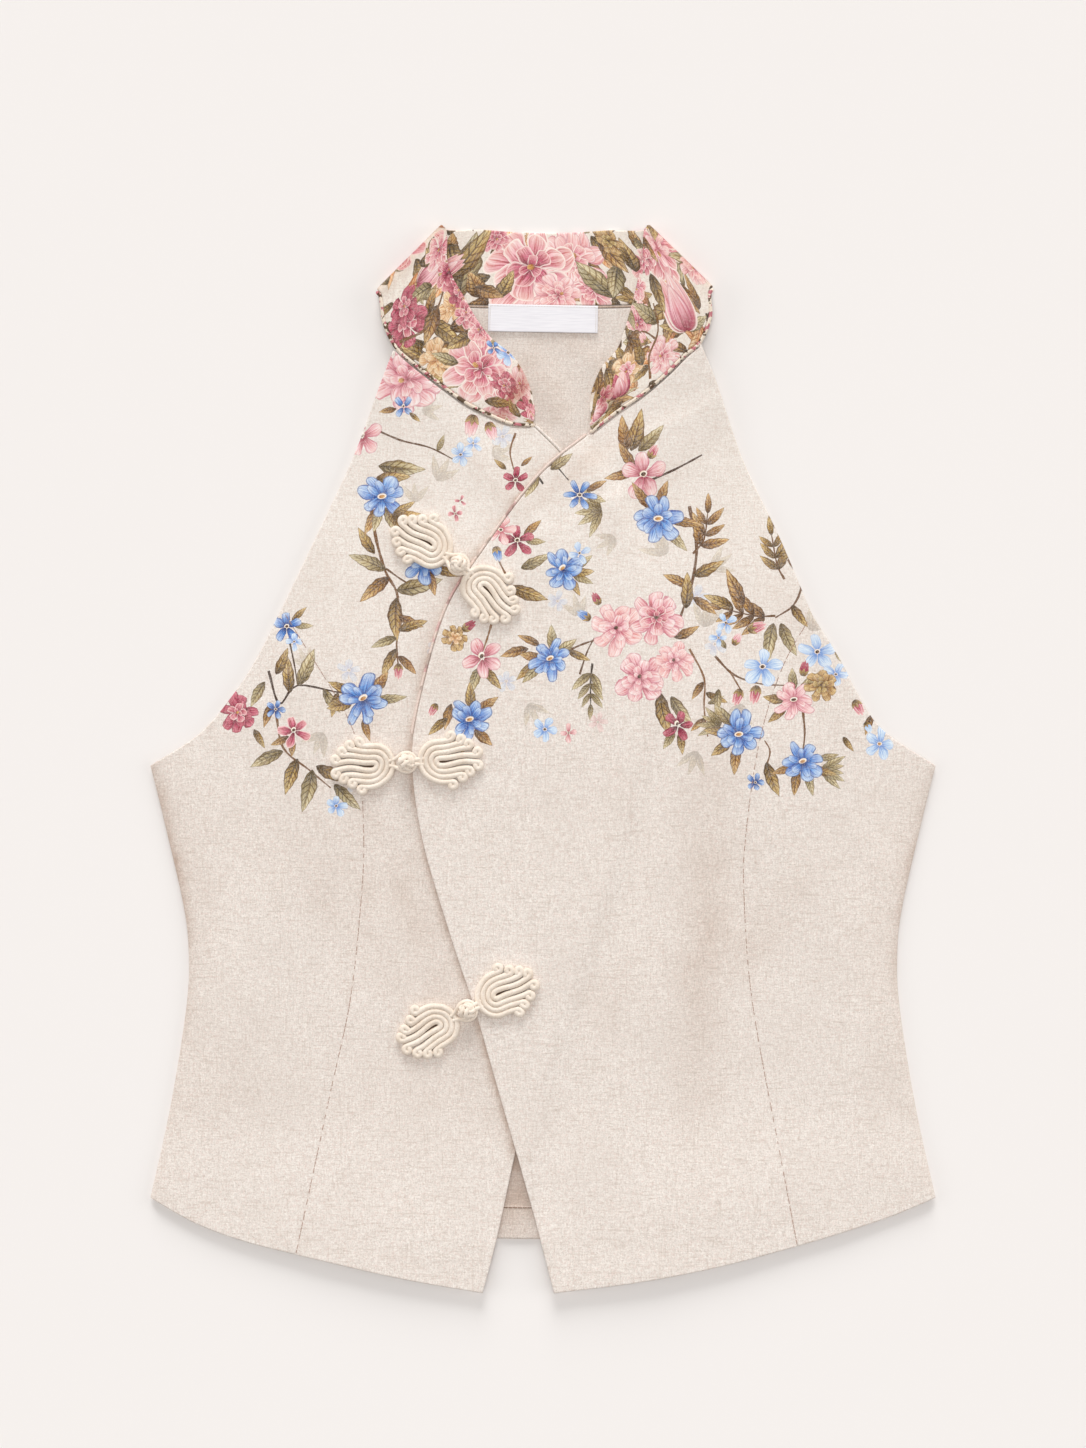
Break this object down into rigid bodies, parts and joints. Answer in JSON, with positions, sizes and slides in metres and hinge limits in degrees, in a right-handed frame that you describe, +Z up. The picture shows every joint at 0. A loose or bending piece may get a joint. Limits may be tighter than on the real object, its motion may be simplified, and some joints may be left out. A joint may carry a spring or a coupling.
{
  "type": "sleeveless mandarin collar vest",
  "caption": "Sleeveless halter-cut vest laid flat, with a stand collar, a curved wrap front closed by cord frogs, princess seams and a curved hem.",
  "frame": {"origin": "middle of the outline seen from above, on the surface that the vest lies on", "axes": "+X to the wearer's left, +Y to the collar, +Z up out of the front of the vest"},
  "size_m": [0.43, 0.584, 0.0152],
  "materials": {
    "linen": "heathered oatmeal linen, printed with flowers above the bust",
    "printed_cloth": "linen covered with pink, burgundy and olive flowers",
    "cord": "cream rolled fabric cord with a soft sheen",
    "label": "plain white woven tape"
  },
  "bodies": {
    "root": {"back": "linen", "back_hem": "linen", "front_right_side": "linen", "front_right_centre": "linen", "front_left_centre": "linen", "front_left_side": "linen", "collar": "printed_cloth", "neck_piping_right": "printed_cloth", "neck_piping_left": "printed_cloth", "neck_piping_back": "printed_cloth", "overlap_piping": "printed_cloth", "underlap_piping": "linen", "neck_label": "label", "frog_neck_loop_scroll": "cord", "frog_neck_knot_scroll": "cord", "frog_neck_knot": "cord", "frog_bust_loop_scroll": "cord", "frog_bust_knot_scroll": "cord", "frog_bust_knot": "cord", "frog_waist_loop_scroll": "cord", "frog_waist_knot_scroll": "cord", "frog_waist_knot": "cord"}
  },
  "joints": []
}
